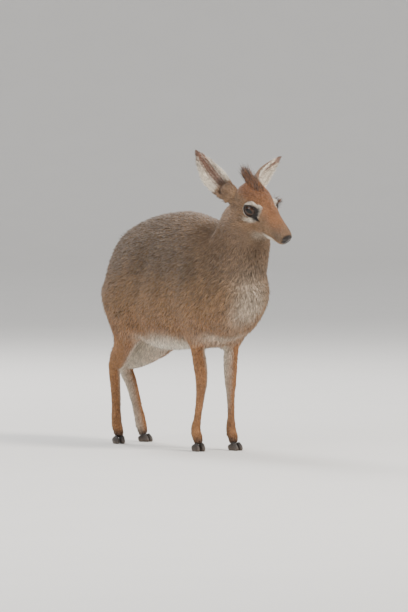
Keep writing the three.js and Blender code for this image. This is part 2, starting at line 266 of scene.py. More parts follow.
def distances(points, triangles, low, shape, voxel, reach):
    grid = openvdb.FloatGrid.createLevelSetFromPolygons(
        (points - low).astype(np.float32), triangles=triangles.astype(np.uint32),
        transform=openvdb.createLinearTransform(voxelSize=voxel), halfWidth=reach / voxel)
    values = np.zeros(shape, np.float32)
    grid.copyToArray(values)
    return values


def surface(values, low, voxel, level=0.0):
    grid = openvdb.FloatGrid(float(values.max()))
    grid.copyFromArray(values)
    grid.transform = openvdb.createLinearTransform(voxelSize=voxel)
    points, quads = grid.convertToQuads(level)
    return points + low, quads.astype(np.int64)


def one_body(names, low, high, voxel, reach, closing=0.7):
    """The field of the nodes together, with the thin gaps between them closed."""
    shape = tuple(int(n) for n in np.ceil((high - low) / voxel))
    values = distances(*node_mesh(names), low, shape, voxel, 3 * voxel)
    points, quads = surface(values, low, voxel, closing)
    triangles = np.concatenate([quads[:, [0, 1, 2]], quads[:, [0, 2, 3]]])
    return distances(points, triangles, low, shape, voxel, reach) + closing


def grid_points(low, shape, voxel):
    axes = [low[i] + voxel * np.arange(shape[i]) for i in range(3)]
    return np.stack(np.meshgrid(*axes, indexing="ij"), -1).astype(np.float32)


def blurred(values, sigma):
    """The field smoothed by a bell of this width, in voxels."""
    reach = int(math.ceil(2.5 * sigma))
    weights = np.exp(-0.5 * (np.arange(-reach, reach + 1) / sigma) ** 2)
    weights /= weights.sum()
    for axis in range(3):
        padded = np.pad(values, [(reach, reach) if a == axis else (0, 0) for a in range(3)], mode="edge")
        total = np.zeros_like(values)
        for k, w in enumerate(weights):
            cut = [slice(None)] * 3
            cut[axis] = slice(k, k + values.shape[axis])
            total += np.float32(w) * padded[tuple(cut)]
        values = total
    return values


def smooth_union(a, b, blend):
    h = np.clip(0.5 + 0.5 * (b - a) / blend, 0, 1)
    return b * (1 - h) + a * h - blend * h * (1 - h)


def leg_share(points):
    """0 on the trunk, 1 from the knees and hocks down."""
    return ramp(in_body(points)[2], 195, 125)


def on_the_tail(points):
    x, forward, up = in_body(points)
    return ramp(np.abs(x), 17, 11) * ramp(forward, -186, -200) * ramp(up, 255, 265) * ramp(up, 345, 320)


def coat_depth(points):
    depth = between(SKIN_DEPTH["body"], SKIN_DEPTH["leg"], leg_share(points))
    depth = between(depth, SKIN_DEPTH["tail"], on_the_tail(points))
    return between(depth, SKIN_DEPTH["neck"], ramp(above_collar(points), -60, 20))


def muscle_relief(points):
    """Thighs, shoulder blades and the hollows beside them: how far the surface sinks in."""
    x, forward, up = in_body(points)
    aside = ramp(np.abs(x), 30, 55)
    line = -98 + 0.42 * (up - 200)
    flank = bell(forward, line + 14, 25) * ramp(up, 350, 290) * ramp(up, 165, 215)
    thigh = bell(forward, line - 42, 30) * bell(up, 262, 62)
    behind_arm = bell(forward, 28 - 0.12 * (up - 200), 23) * ramp(up, 320, 260) * ramp(up, 165, 205)
    arm = bell(forward, 80, 26) * bell(up, 250, 50)
    before_arm = bell(forward, 124 + 0.1 * (up - 230), 20) * ramp(up, 335, 280) * ramp(up, 190, 225)
    hip = bell(forward, -118, 14) * bell(up, 350, 16)
    return aside * (9 * flank - 2.5 * thigh + 6 * behind_arm - 2.0 * arm + 3 * before_arm - 2 * hip)


def leg_relief(points):
    """Tendon grooves beside the cannon bones, and knuckles over the fetlocks."""
    x, forward, up = in_body(points)
    sink = np.zeros(points.shape[:-1])
    for foot in FEET.values():
        near = ramp(np.hypot(x - foot["x"], forward - foot["forward"]), 45, 30)
        shin = ramp(up, 40, 55) * ramp(up, 112, 95)
        sink += near * 0.9 * shin * bell(forward, foot["forward"] - 2, 3.5)
        sink -= near * 0.7 * bell(up, 27, 6)
    return sink


def body_skin():
    margin, top, reach = 12, 430, 26
    low, high = np.array(CAD_BOX[0]) / MM - margin, np.array(CAD_BOX[1]) / MM + margin
    high[2] = top
    field = one_body(FLESH, low, high, BODY_VOXEL, reach)
    points = grid_points(low, field.shape, BODY_VOXEL)
    x, forward, up = in_body(points)
    soft = blurred(field, SMOOTHING["trunk"])
    fine = blurred(field, SMOOTHING["thin"])
    # Legs, neck and tail are too thin to be smoothed as much as the trunk.
    thin = np.maximum(leg_share(points), ramp(above_collar(points), -50, -5))
    thin = np.maximum(thin, on_the_tail(points)).astype(np.float32)
    field = soft * (1 - thin) + fine * thin
    # The neck runs into the back and shoulders without a crease.
    join = bell(forward - 0.5 * (up - 300), 98, 48) * ramp(up, 205, 265)
    join = (join * ramp(above_collar(points), -18, -60)).astype(np.float32)
    field = field * (1 - join) + blurred(soft, SMOOTHING["shoulders"]) * join
    depth = coat_depth(points) + muscle_relief(points) + leg_relief(points)
    field = field + depth.astype(np.float32)
    # The tail's root and the groove in front of it are filled.
    root = ramp(np.abs(x), 20, 12) * ramp(forward, -172, -184) * ramp(up, 262, 276) * ramp(up, 358, 346)
    filled = np.minimum(field, soft - 2.0)
    field = field + (filled - field) * root.astype(np.float32)
    return surface(field, low, BODY_VOXEL)


def ear_root(points, side):
    """The gristle that carries an ear, from inside the skull up into the ear."""
    ear = EAR_AXES[side]
    start = on_head(side * 13, -40, -12)
    end = ear["at"] + ear["lean"] * 14 - ear["facing"] * 5
    way = end - start
    along = np.clip((points - start) @ way / (way @ way), 0, 1)
    return np.linalg.norm(points - start - along[..., None] * way, axis=-1) - (13 - 4.5 * along)


def lip_line(forward):
    """How high the lips meet. The line drops from the nose back to the cheek."""
    return -19.5 - 3.0 * ((80 - forward) / 36) ** 2


def head_grid():
    """The lowest corner of the head's grid, and the field of the head and neck in it."""
    margin, below, neck, reach = 6, 12, 90, 12
    corners = [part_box(n) for n in ["head", "ear_left", "ear_right"]]
    low = np.min([c[0] for c in corners], axis=0) / MM - margin
    high = np.max([c[1] for c in corners], axis=0) / MM + margin
    low[2] -= below
    # The neck is measured whole and then cut off, so that its field has no false end inside the grid.
    whole_low = low - [0, 0, neck]
    layers = math.ceil((high - whole_low)[2] / HEAD_VOXEL) - math.ceil((high - low)[2] / HEAD_VOXEL)
    flesh = one_body(["head", "neck"], whole_low, high, HEAD_VOXEL, reach)[:, :, layers:]
    return whole_low + [0, 0, layers * HEAD_VOXEL], flesh


def head_skin():
    low, flesh = head_grid()
    points = grid_points(low, flesh.shape, HEAD_VOXEL)
    x, forward, up = in_head(points)
    aside = np.abs(x)
    nape = ramp(forward, -34, -52).astype(np.float32)
    behind = blurred(flesh, SMOOTHING["nape"]) + SKIN_DEPTH["nape"]
    field = blurred(flesh, SMOOTHING["head"]) * (1 - nape) + behind * nape
    field = field + between(coat_depth(points), SKIN_DEPTH["muzzle"], ramp(forward, -60, 60))
    ears = distances(*node_mesh(["ear_left", "ear_right"]), low, flesh.shape, HEAD_VOXEL, 6)
    field = smooth_union(field, blurred(ears, SMOOTHING["ear"]) + SKIN_DEPTH["ear"], 4.0)
    for side in (1, -1):
        field = smooth_union(field, ear_root(points, side), 6.0)

    # The cheekbone, the hollow of the cheek, the ridge of the nose and the swell behind the nostrils.
    field -= 0.9 * bell(aside, 20, 7) * bell(up, -12, 5) * bell(forward, 6, 16)
    field += 1.5 * bell(up, -13, 7) * bell(forward, 40, 12) * ramp(aside, 4, 12)
    field -= 0.8 * bell(aside, 0, 5) * bell(forward, 30, 26) * ramp(up, 0, 8)
    field -= 1.6 * bell(up, -9, 8) * bell(forward, 72, 10) * ramp(aside, 3, 10)

    # The mouth's line, the lower lip set in under the upper one, and the split below the nose.
    lips = lip_line(forward)
    mouth = ramp(forward, 43, 50)
    field += 1.5 * bell(up, lips, 0.85) * mouth
    field += 1.3 * ramp(up, lips, lips - 2.0) * mouth
    field += 1.0 * bell(x, 0, 0.8) * ramp(forward, 74, 78) * ramp(up, -9, -12)
    # Nostrils: curved slits that open to the sides.
    rise = 0.25 * (aside - 5)
    field += 3.2 * np.exp(-1.1 * nostril(x, forward, up - rise, (3.4, 5.2, 2.1)))
    field -= 0.9 * bell(aside, 8, 3) * bell(up, -4.4, 2.2) * bell(forward, 78, 6)

    # The gland in front of each eye.
    gland = ((forward - 19.5) / 5.5) ** 2 + ((up + 6.5) / 2.2) ** 2
    field += 1.7 * np.exp(-gland) * ramp(aside, 8, 14)

    # Lids: a shell over each eyeball, cut open between the lids, with a fold above and below.
    for side in (1, -1):
        far, front, high_up, out = eye_coordinates(points, side)
        near = far < 26
        lid = smooth_union(field, far - (EYE["radius"] + 1.25), 3.0)
        ring = np.sqrt(np.maximum(lid_gap(front, high_up), 0))
        lid += 0.8 * bell(ring, 1.5, 0.12) * (out > 0)
        lid -= 0.35 * bell(ring, 1.22, 0.1) * (out > 0)
        gap = (ring - 1) * 7.5
        hollow = np.maximum(np.maximum(gap, (EYE["radius"] - 1.8) - far), -out * 12)
        lid = np.maximum(lid, -hollow)
        field = np.where(near, lid, field)
    return surface(field.astype(np.float32), low, HEAD_VOXEL)


def nostril(x, forward, up, reach):
    """Below 1 in the nostrils, with this reach aside, forward and up."""
    away = (np.abs(x) - NOSTRIL["aside"], forward - NOSTRIL["forward"], up - NOSTRIL["up"])
    return sum((distance / far) ** 2 for distance, far in zip(away, reach))


# Meshes.
def new_mesh(name, points, faces):
    mesh = bpy.data.meshes.new(name)
    sides = faces.shape[1]
    mesh.vertices.add(len(points))
    mesh.vertices.foreach_set("co", (points * MM).astype(np.float32).ravel())
    mesh.loops.add(faces.size)
    mesh.loops.foreach_set("vertex_index", faces.astype(np.int32).ravel())
    mesh.polygons.add(len(faces))
    mesh.polygons.foreach_set("loop_start", np.arange(0, faces.size, sides, dtype=np.int32))
    mesh.update(calc_edges=True)
    mesh.validate()
    mesh.shade_smooth()
    obj = bpy.data.objects.new(name, mesh)
    bpy.context.scene.collection.objects.link(obj)
    return obj


def finished(piece, look, slot, *replaced):
    """Gives a piece its look and its body, and hides the nodes that it stands for. The slot is not used."""
    piece.data.materials.append(look)
    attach(piece, "root")
    if replaced:
        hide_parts(*replaced)


def ringed(top, rings, bottom=None):
    """Points and triangles of a stack of rings from tip to tip. With no bottom it stays open there."""
    count, sides = rings.shape[:2]
    row = np.arange(sides)
    after = (row + 1) % sides
    points = [[top], rings.reshape(-1, 3)]
    faces = [np.stack([0 * row, 1 + row, 1 + after], 1)]
    last = 1 + (count - 1) * sides
    for start in range(1, last, sides):
        a, b = start + row, start + after
        faces += [np.stack([a, a + sides, b], 1), np.stack([b, a + sides, b + sides], 1)]
    if bottom is not None:
        points.append([bottom])
        faces.append(np.stack([0 * row + last + sides, last + after, last + row], 1))
    return np.concatenate(points), np.concatenate(faces)


def vertex_normals(points, quads):
    a, b, c, d = (points[quads[:, i]] for i in range(4))
    face = np.cross(c - a, d - b)
    normals = np.zeros_like(points)
    for i in range(4):
        np.add.at(normals, quads[:, i], face)
    return unit(normals)


def set_attribute(obj, name, kind, values):
    layer = obj.data.attributes.new(name, kind, "POINT")
    field = {"FLOAT": "value", "FLOAT_VECTOR": "vector", "FLOAT_COLOR": "color"}[kind]
    layer.data.foreach_set(field, values.astype(np.float32).ravel())


def set_colours(obj, colours):
    opaque = np.ones((len(colours), 1))
    set_attribute(obj, "coat", "FLOAT_COLOR", np.concatenate([np.clip(colours, 0, 1), opaque], 1))


# Markings.
def shade(red, green, blue):
    """A colour from its everyday 0 to 255 values."""
    v = np.array([red, green, blue]) / 255
    return np.where(v > 0.04045, ((v + 0.055) / 1.055) ** 2.4, v / 12.92)


BACK = shade(104, 84, 64)
FLANK = shade(146, 113, 80)
RUFOUS = shade(143, 94, 57)
CROWN = shade(128, 84, 52)
TAN = shade(160, 117, 78)
WHITE = shade(226, 214, 196)
GREY = shade(118, 102, 84)
DARK = shade(38, 30, 26)
PINK = shade(150, 116, 100)


def markings(points, normals):
    """The coat's colour by place, the same for the skin and for the tufts that grow there."""
    x, forward, up = in_body(points)
    aside = np.abs(x)
    outward = normals[..., 0] * np.sign(x)
    patches = ripples(points, 60, 3)
    colour = mix(BACK, FLANK, ramp(up + 12 * patches, 320, 225) * 0.85)
    colour = mix(colour, RUFOUS, 0.35 * ramp(up + 10 * patches, 250, 180))
    low = ramp(up + 5 * patches, 206, 172) * ramp(normals[..., 2], -0.3, -0.8)
    colour = mix(colour, WHITE, low)
    # The breast and throat are paler, and the rump is pale round the tail.
    breast = ramp(forward, 120, 185) * ramp(up, 340, 220) * ramp(aside, 42, 8)
    colour = mix(colour, WHITE, 0.55 * breast)
    rear = ramp(forward, -165, -195) * ramp(aside + 6 * patches, 46, 20) * ramp(up, 318, 285)
    colour = mix(colour, WHITE, 0.75 * rear)
    tail = on_the_tail(points) * ramp(aside, 14, 8)
    colour = mix(colour, mix(BACK, RUFOUS, 0.25), tail)
    # Legs: tan outside, white inside down to the knee, dark above the hooves.
    beside_legs = np.where(forward > 0, ramp(np.abs(forward - 70), 44, 26), ramp(forward, -84, -112))
    leg = ramp(up, 205, 165) * beside_legs
    colour = mix(colour, TAN, leg * ramp(outward, -0.7, 0.2))
    inside = ramp(outward + 0.12 * patches, 0.0, -0.75)
    down_the_leg = 0.55 * ramp(up, 50, 100) + 0.45 * ramp(up, 100, 165)
    colour = mix(colour, WHITE, 0.85 * inside * ramp(up, 212, 188) * down_the_leg)
    colour = mix(colour, RUFOUS, 0.45 * leg * ramp(-normals[..., 1], 0.1, 0.8))
    colour = mix(colour, DARK * 2.2, 0.75 * ramp(up, 30, 16))
    # Neck: grizzled grey, tan along its sides, white under the chin.
    head_x, along, head_up = in_head(points)
    neck = ramp(above_collar(points), -95, -20)
    colour = mix(colour, mix(GREY, RUFOUS, 0.25), 0.7 * neck * (1 - breast))
    face = face_markings(points, normals, head_x, along, head_up)
    colour = mix(colour, face, ramp(above_collar(points), 8, 34))
    return colour * (1 + 0.08 * ripples(points, 22, 5))[..., None]


def face_markings(points, normals, x, forward, up):
    aside = np.abs(x)
    cheek = mix(TAN, GREY, 0.55)
    patches = ripples(points, 26, 9)
    colour = mix(cheek, RUFOUS, 0.8 * ramp(up + 2 * patches, -8, 8) * ramp(aside, 24, 9))
    colour = mix(colour, CROWN, ramp(forward + 5 * patches, 18, -14) * ramp(up, 3, 17))
    colour = mix(colour, CROWN, 0.55 * ramp(aside, 8, 2) * ramp(up, -6, 2) * ramp(forward, 60, 35))
    colour = mix(colour, GREY * 0.8, 0.55 * ramp(forward, 45, 72) * ramp(up, -16, -8))
    nape = ramp(forward, -40, -62)
    colour = mix(colour, mix(GREY, RUFOUS, 0.3), nape)
    # White: chin and lips, the throat behind the jaw, and a ring round each eye.
    lips = lip_line(forward)
    white = ramp(up, lips + 2.5, lips - 0.5) * ramp(forward, 25, 45)
    throat = ramp(up, -26, -38) * ramp(forward, 60, 20) * ramp(forward, -42, -18)
    white = np.maximum(white, throat * ramp(aside, 26, 10))
    colour = mix(colour, WHITE, white)
    for side in (1, -1):
        far, front, high_up, out = eye_coordinates(points, side)
        ring = np.sqrt(lid_gap(front, high_up))
        here = ramp(far, 24, 18) * (out > 0.05)
        colour = mix(colour, WHITE, here * ramp(ring, 1.95, 1.55) * ramp(high_up, -0.75, -0.2) * 0.92)
        colour = mix(colour, WHITE, here * ramp(ring, 1.75, 1.45) * 0.8)
        colour = mix(colour, DARK, here * ramp(ring, 1.32, 1.16))
    gland = ((forward - 18.5) / 7.5) ** 2 + ((up + 5.8) / 3.4) ** 2
    colour = mix(colour, DARK * 0.6, ramp(gland, 1.15, 0.6) * ramp(aside, 6, 11))
    # The bare nose pad with its nostrils.
    colour = mix(colour, DARK * 0.7, nose_pad(x, forward, up))
    share, side_of = on_an_ear(points)
    for side in (1, -1):
        colour = mix(colour, ear_markings(points, normals, side), share * (side_of == side))
    return colour


def ear_markings(points, normals, side):
    """Tan-grey backs, pale hair inside over pinkish skin, painted shade deep in the hollow towards its base,
    and dark edges towards the tip.
    """
    along, across, _ = ear_coordinates(points, side)
    inner = ramp(normals @ EAR_AXES[side]["facing"], 0.0, 0.5)
    back = mix(GREY, RUFOUS, 0.3 + 0.3 * ramp(along, 0.5, 0.1))
    streaks = 0.5 + 0.5 * np.sin(across * 1.5 + 2 * ripples(points, 30, 15))
    hollow = mix(PINK, WHITE, ramp(np.abs(across) + 5 * streaks, 4, 14))
    # Painted shade: the middle of the hollow is darkened towards the ear's base, where its cup is deepest.
    hollow = mix(hollow, DARK * 2.5, 0.7 * ramp(along, 0.42, 0.24) * ramp(np.abs(across), 11, 3))
    ear = mix(back, hollow, inner)
    edge = ramp(along, 0.55, 0.95) * ramp(np.abs(across) + 14 * ramp(along, 0.8, 1), 6, 12)
    return mix(ear, DARK * 2.2, 0.55 * edge)


def nose_pad(x, forward, up):
    across = ramp(np.abs(x), 10.5, 8.5)
    return across * ramp(forward, 73.5, 76.5) * ramp(up, -16.5, -14.5) * ramp(up, 3.5, 0.5)


def bare(points):
    """1 where no hair grows: the nose pad, the eyes' openings and the lids' rims."""
    x, forward, up = in_head(points)
    none = nose_pad(x, forward, up)
    for side in (1, -1):
        far, front, high_up, out = eye_coordinates(points, side)
        none = np.maximum(none, ((far < 15) & (out > 0) & (lid_gap(front, high_up) < 1.5)) * 1.0)
    return np.maximum(none, ramp(nostril(x, forward, up, (4, 6, 3)), 1.3, 0.9))


# Materials.
def material(name, roughness, specular, sheen=0.0):
    made = bpy.data.materials.new(name)
    made.use_nodes = True
    tree = made.node_tree
    shader = tree.nodes["Principled BSDF"]
    shader.inputs["Roughness"].default_value = roughness
    shader.inputs["Specular IOR Level"].default_value = specular
    shader.inputs["Sheen Weight"].default_value = sheen
    return made, tree, shader


def node(tree, kind, inputs=None, **settings):
    made = tree.nodes.new(kind)
    for key, value in settings.items():
        setattr(made, key, value)
    for key, value in (inputs or {}).items():
        if isinstance(value, bpy.types.NodeSocket):
            tree.links.new(value, made.inputs[key])
        else:
            made.inputs[key].default_value = value
    return made


def object_place(tree):
    return node(tree, "ShaderNodeTexCoord").outputs["Object"]


def multiplied(tree, vector, factor):
    made = node(tree, "ShaderNodeVectorMath", {0: vector, 1: factor}, operation="MULTIPLY")
    return made.outputs["Vector"]


def noise(tree, where, scale, detail):
    made = node(tree, "ShaderNodeTexNoise", {"Vector": where, "Scale": scale, "Detail": detail})
    return made.outputs["Fac"]


def ranged(tree, value, low, high, start=0.0, end=1.0):
    """A value from low to high, as the given one runs from start to end."""
    limits = {"From Min": start, "From Max": end, "To Min": low, "To Max": high}
    return node(tree, "ShaderNodeMapRange", {"Value": value, **limits}).outputs["Result"]


def painted(tree, value, first, second, stops=(0.0, 1.0)):
    """A colour that runs from the first to the second, as the value runs between the stops."""
    made = node(tree, "ShaderNodeValToRGB", {"Fac": value})
    for element, stop, colour in zip(made.color_ramp.elements, stops, (first, second)):
        element.position, element.color = stop, (*colour, 1)
    return made.outputs["Color"]


def bumped(tree, shader, height, strength, distance):
    """Raises the surface by this height, over the bump that it may already have."""
    made = node(tree, "ShaderNodeBump", {"Height": height, "Strength": strength, "Distance": distance})
    for link in tuple(shader.inputs["Normal"].links):
        tree.links.new(link.from_socket, made.inputs["Normal"])
    tree.links.new(made.outputs["Normal"], shader.inputs["Normal"])


def coat_material(name, roughness=0.75, fine=1400, grain=0.28, bump=0.25):
    """Hair with a fine speckle and soft clouds over its markings."""
    made, tree, shader = material(name, roughness, 0.22, sheen=0.12)
    colour = node(tree, "ShaderNodeAttribute", attribute_name="coat").outputs["Color"]
    where = object_place(tree)
    speck, cloud = noise(tree, where, fine, 2.0), noise(tree, where, 60.0, 3.0)
    colour = multiplied(tree, colour, ranged(tree, speck, 1 - grain * 1.6, 1 + grain * 1.6))
    colour = multiplied(tree, colour, ranged(tree, cloud, 0.85, 1.15))
    tree.links.new(colour, shader.inputs["Base Color"])
    bumped(tree, shader, speck, bump, 0.0006)
    return made


def skin_material():
    """The skin under the coat, moist and pebbled where it is bare."""
    made = coat_material("skin_under_coat", 0.7, fine=1100, grain=0.2, bump=0.5)
    tree = made.node_tree
    shader = tree.nodes["Principled BSDF"]
    wet = node(tree, "ShaderNodeAttribute", attribute_name="bare").outputs["Fac"]
    tree.links.new(ranged(tree, wet, 0.75, 0.36), shader.inputs["Roughness"])
    pebbles = node(tree, "ShaderNodeTexVoronoi", {"Vector": object_place(tree), "Scale": 1100.0})
    height = node(tree, "ShaderNodeMath", {0: pebbles.outputs["Distance"], 1: wet}, operation="MULTIPLY")
    bumped(tree, shader, height.outputs["Value"], 0.6, 0.0004)
    return made


def eye_material():
    """A wet dark iris with streaks, and a pupil that is wider than high."""
    made, tree, shader = material("wet_eye", 0.08, 0.15)
    shader.inputs["Coat Weight"].default_value = 0.4
    shader.inputs["Coat Roughness"].default_value = 0.02
    gaze = node(tree, "ShaderNodeAttribute", attribute_name="gaze").outputs["Vector"]
    flat = multiplied(tree, gaze, (1 / PUPIL["wide"], 1 / PUPIL["tall"], 0))
    pupil = node(tree, "ShaderNodeVectorMath", {0: flat}, operation="LENGTH").outputs["Value"]
    level = multiplied(tree, gaze, (1, 1, 0))
    ring = node(tree, "ShaderNodeVectorMath", {0: level}, operation="LENGTH").outputs["Value"]
    colour = painted(tree, ring, (0.055, 0.024, 0.011), (0.012, 0.007, 0.005), (0.3, 0.84))
    colour = multiplied(tree, colour, ranged(tree, noise(tree, flat, 9.0, 4.0), 0.5, 1.6))
    colour = multiplied(tree, colour, ranged(tree, pupil, 0.0, 1.0, 0.9, 1.1))
    tree.links.new(colour, shader.inputs["Base Color"])
    return made


def horn_material():
    """Dark horn with growth rings and grain, worn paler towards the sole."""
    made, tree, shader = material("hoof_horn", 0.42, 0.45)
    where = object_place(tree)
    up = node(tree, "ShaderNodeSeparateXYZ", {"Vector": where}).outputs["Z"]
    grain = noise(tree, where, 420.0, 4.0)
    worn_edge = ranged(tree, up, 0.0, 1.0, 0.0, 0.012)
    colour = painted(tree, worn_edge, (0.075, 0.055, 0.042), (0.02, 0.016, 0.014))
    colour = multiplied(tree, colour, ranged(tree, grain, 0.6, 1.5))
    tree.links.new(colour, shader.inputs["Base Color"])
    tree.links.new(ranged(tree, grain, 0.34, 0.55), shader.inputs["Roughness"])
    waves = {"Vector": where, "Scale": 260.0, "Distortion": 2.5}
    rings = node(tree, "ShaderNodeTexWave", waves, bands_direction="Z").outputs["Fac"]
    bumped(tree, shader, rings, 0.35, 0.0004)
    return made


# Tufts: each is a thin closed lock, widest in its middle, bent over towards the skin.
TUFT_FACES = np.array([
    [0, 2, 5], [0, 5, 3], [2, 1, 4], [2, 4, 5], [1, 0, 3],
    [1, 3, 4], [3, 5, 6], [5, 4, 6], [4, 3, 6], [0, 1, 2],
])
PATCH = 0.003


def tuft_piece(name, grown, surface_map, look, slot, *replaced):
    """One joined mesh of tufts. grown holds an array per property, with a row for each tuft."""
    root, normal, lie = grown["root"], grown["normal"], grown["lie"]
    length, width = grown["length"][:, None], grown["width"][:, None]
    across = unit(np.cross(normal, lie))
    lift, droop = grown["lift"][:, None], grown["droop"][:, None]

    def at(t):
        return root + length * (t * np.sqrt(1 - lift ** 2) * lie + (lift * t - droop * t * t) * normal)

    rows = []
    for t, share in [(0.0, 0.7), (0.5, 1.0)]:
        middle = at(t) - normal * (0.35 if t == 0 else 0)
        half = across * width * share / 2
        rows += [middle - half, middle + half, middle + normal * width * 0.32 * share]
    rows.append(at(1.0))
    points = np.stack(rows, 1)
    count = len(root)
    faces = (TUFT_FACES[None] + 7 * np.arange(count)[:, None, None]).reshape(-1, 3)
    obj = new_mesh(name, points.reshape(-1, 3), faces)
    steps = np.stack([grown["root_shade"]] * 3 + [np.ones(count)] * 3 + [grown["tip_shade"]], 1)
    colours = grown["colour"][:, None, :] * steps[..., None]
    set_colours(obj, colours.reshape(-1, 3))
    corner = np.array([[0, 0], [1, 0], [0.5, 0], [0, 0.5], [1, 0.5], [0.5, 0.5], [0.5, 1]]) * PATCH
    uv = surface_map[:, None, None, :] + corner[TUFT_FACES][None]
    layer = obj.data.uv_layers.new(name="OFBake")
    layer.data.foreach_set("uv", uv.astype(np.float32).ravel())
    finished(obj, look, slot, *replaced)


def sown(points, quads, density, seed):
    """Roots spread evenly over the faces: density gives tufts per square millimetre at a face's middle."""
    made = np.random.default_rng(seed)
    a, b, c, d = (points[quads[:, i]] for i in range(4))
    area = 0.5 * np.linalg.norm(np.cross(c - a, d - b), axis=1)
    count = np.floor(area * density + made.random(len(quads))).astype(int)
    face = np.repeat(np.arange(len(quads)), count)
    u, v = made.random(len(face))[:, None], made.random(len(face))[:, None]
    where = (a[face] * (1 - u) + b[face] * u) * (1 - v) + (d[face] * (1 - u) + c[face] * u) * v
    return face, where


def lie_of_coat(points):
    """The way the hair points, before it is laid along the skin."""
    x, forward, up = in_body(points)
    trunk = np.stack(np.broadcast_arrays(0.0, 1.0, -0.55 - 0.5 * ramp(up, 300, 220)), -1)
    neck = np.stack(np.broadcast_arrays(0.25 * np.sign(x) * ramp(np.abs(x), 0, 30), 0.55, -1.0), -1)
    legs = np.array([0.0, 0.25, -1.0])
    lie = mix(trunk, neck, ramp(forward + 0.35 * (up - 300), 55, 120))
    lie = mix(lie, legs, np.maximum(ramp(up, 230, 175), on_the_tail(points)))
    x, _, _ = in_head(points)
    face = HEAD_AXES[:, 1] + HEAD_AXES[:, 0] * np.sign(x)[..., None] * 0.22 - HEAD_AXES[:, 2] * 0.35
    lie = mix(unit(lie), unit(face), ramp(above_collar(points), 0, 30))
    share, side_of = on_an_ear(points)
    for side in (1, -1):
        _, across, _ = ear_coordinates(points, side)
        fan = EAR_AXES[side]["lean"] + EAR_AXES[side]["across"] * (across / 30)[..., None]
        lie = mix(lie, fan, share * (side_of == side))
    return unit(lie)


def on_unwrap(turn, along):
    """A place on the unwrap, from an angle round the body and the share of the way along it."""
    return np.stack([0.02 + 0.95 * (turn / (2 * math.pi) + 0.5), 0.02 + 0.95 * np.clip(along, 0, 1)], -1)


def coat_map(points, region):
    """A place on an unwrap of the skin: round the trunk, neck, head or leg, and along it."""
    x, forward, up = in_body(points)
    if region.startswith("leg"):
        foot = FEET[region[4:]]
        return on_unwrap(np.arctan2(x - foot["x"], forward - foot["forward"]), up / 240)
    if region.startswith("trunk"):
        return on_unwrap(np.arctan2(x, up - 260), (forward + 240) / 460)
    if region == "neck":
        return on_unwrap(np.arctan2(x, forward - 120), (up - 230) / 190)
    if region.startswith("ear"):
        along, across, out = ear_coordinates(points, 1 if region.endswith("left") else -1)
        u = 0.25 + across / 90 + 0.5 * (out > -6)
        return np.stack([np.clip(u, 0.01, 0.98), 0.02 + 0.95 * np.clip(along, 0, 1)], -1)
    x, along, head_up = in_head(points)
    return on_unwrap(np.arctan2(x, head_up + 6), (along + 75) / 165)


def trait(key, first, **shares):
    """A trait of the first kind of tuft, moved towards that of each other kind by its share."""
    start = TUFTS[first][key]
    return start + sum((TUFTS[kind][key] - start) * share for kind, share in shares.items())


def body_density(middle):
    _, _, up = in_body(middle)
    density = trait("density", "trunk", leg=ramp(up, 190, 120), collar=ramp(above_collar(middle), -80, 0))
    return np.where(up < HOOF_TOP, 0, density)


def head_density(middle):
    ear, _ = on_an_ear(middle)
    _, along, _ = in_head(middle)
    return trait("density", "cheek", muzzle=ramp(along, -10, 30), ear=ear) * (1 - bare(middle))


def body_growth(root, normal, vary):
    """Length, width, lift and droop of each tuft. Longer hair hangs from the belly and the thighs."""
    _, forward, up = in_body(root)
    shares = {"leg": ramp(up, 200, 120), "collar": ramp(above_collar(root), -70, 0)}
    fringe = ramp(normal[:, 2], -0.4, -0.9) * ramp(up, 190, 175) * ramp(up, 140, 160)
    rear = ramp(forward, -175, -200) * ramp(up, 160, 200)
    length = trait("length", "trunk", **shares) * vary * (1 + 0.25 * fringe + 0.15 * rear)
    lift = trait("lift", "trunk", **shares) + 0.1 * fringe
    return length, trait("width", "trunk", **shares), lift, trait("droop", "trunk", **shares)


def head_growth(root, normal, vary):
    """The same on the head and ears: short on the muzzle and round the eyes, long in the ears' hollows."""
    _, along, _ = in_head(root)
    shares = {"nape": ramp(above_collar(root), 60, 10) * ramp(along, 10, -20), "muzzle": ramp(along, 0, 45)}
    length = trait("length", "cheek", **shares) * vary
    ear, side_of = on_an_ear(root)
    hollow = np.zeros(len(root))
    for side in (1, -1):
        far, _, _, _ = eye_coordinates(root, side)
        length *= 1 - 0.45 * ramp(far, 22, 15)
        inner = ramp(normal @ EAR_AXES[side]["facing"], 0.1, 0.6)
        tip = ramp(ear_coordinates(root, side)[0], 0.8, 1)
        hollow = np.where(side_of == side, inner * (1 - tip), hollow)
    ear_length = between(TUFTS["ear"]["length"], TUFTS["ear"]["hollow_length"], hollow) * vary
    width = between(trait("width", "cheek", **shares), TUFTS["ear"]["width"], ear)
    length = between(length, ear_length, ear)
    return length, width, trait("lift", "cheek", **shares), trait("droop", "cheek", **shares)


def coat_of(points, quads, normals, density_at, growth_at, seed):
    """Everything that grows on one of the two skins, as arrays with a row for each tuft."""
    face, root = sown(points, quads, density_at(points[quads].mean(1)), seed)
    normal = unit(normals[quads].mean(1))[face]
    made = np.random.default_rng(seed + 10)
    lie = lie_of_coat(root)
    lie = unit(lie + 0.16 * made.normal(size=lie.shape))
    lie = unit(lie - normal * np.sum(lie * normal, 1)[:, None])
    count = len(root)
    length, width, lift, droop = growth_at(root, normal, made.uniform(0.75, 1.25, count))
    light = 1 + 0.2 * made.normal(size=count)
    light *= 1 + 0.12 * ripples(root, 9, 8)
    colour = markings(root, normal) * np.clip(light, 0.45, 1.6)[:, None]
    dark_tip = made.random(count) < 0.4
    return {
        "root": root, "normal": normal, "lie": lie, "length": length,
        "width": width * made.uniform(0.8, 1.2, count),
        "lift": np.clip(lift * made.uniform(0.7, 1.35, count), 0.03, 0.9), "droop": droop,
        "colour": colour, "root_shade": np.full(count, 0.6), "tip_shade": np.where(dark_tip, 0.62, 1.25),
    }


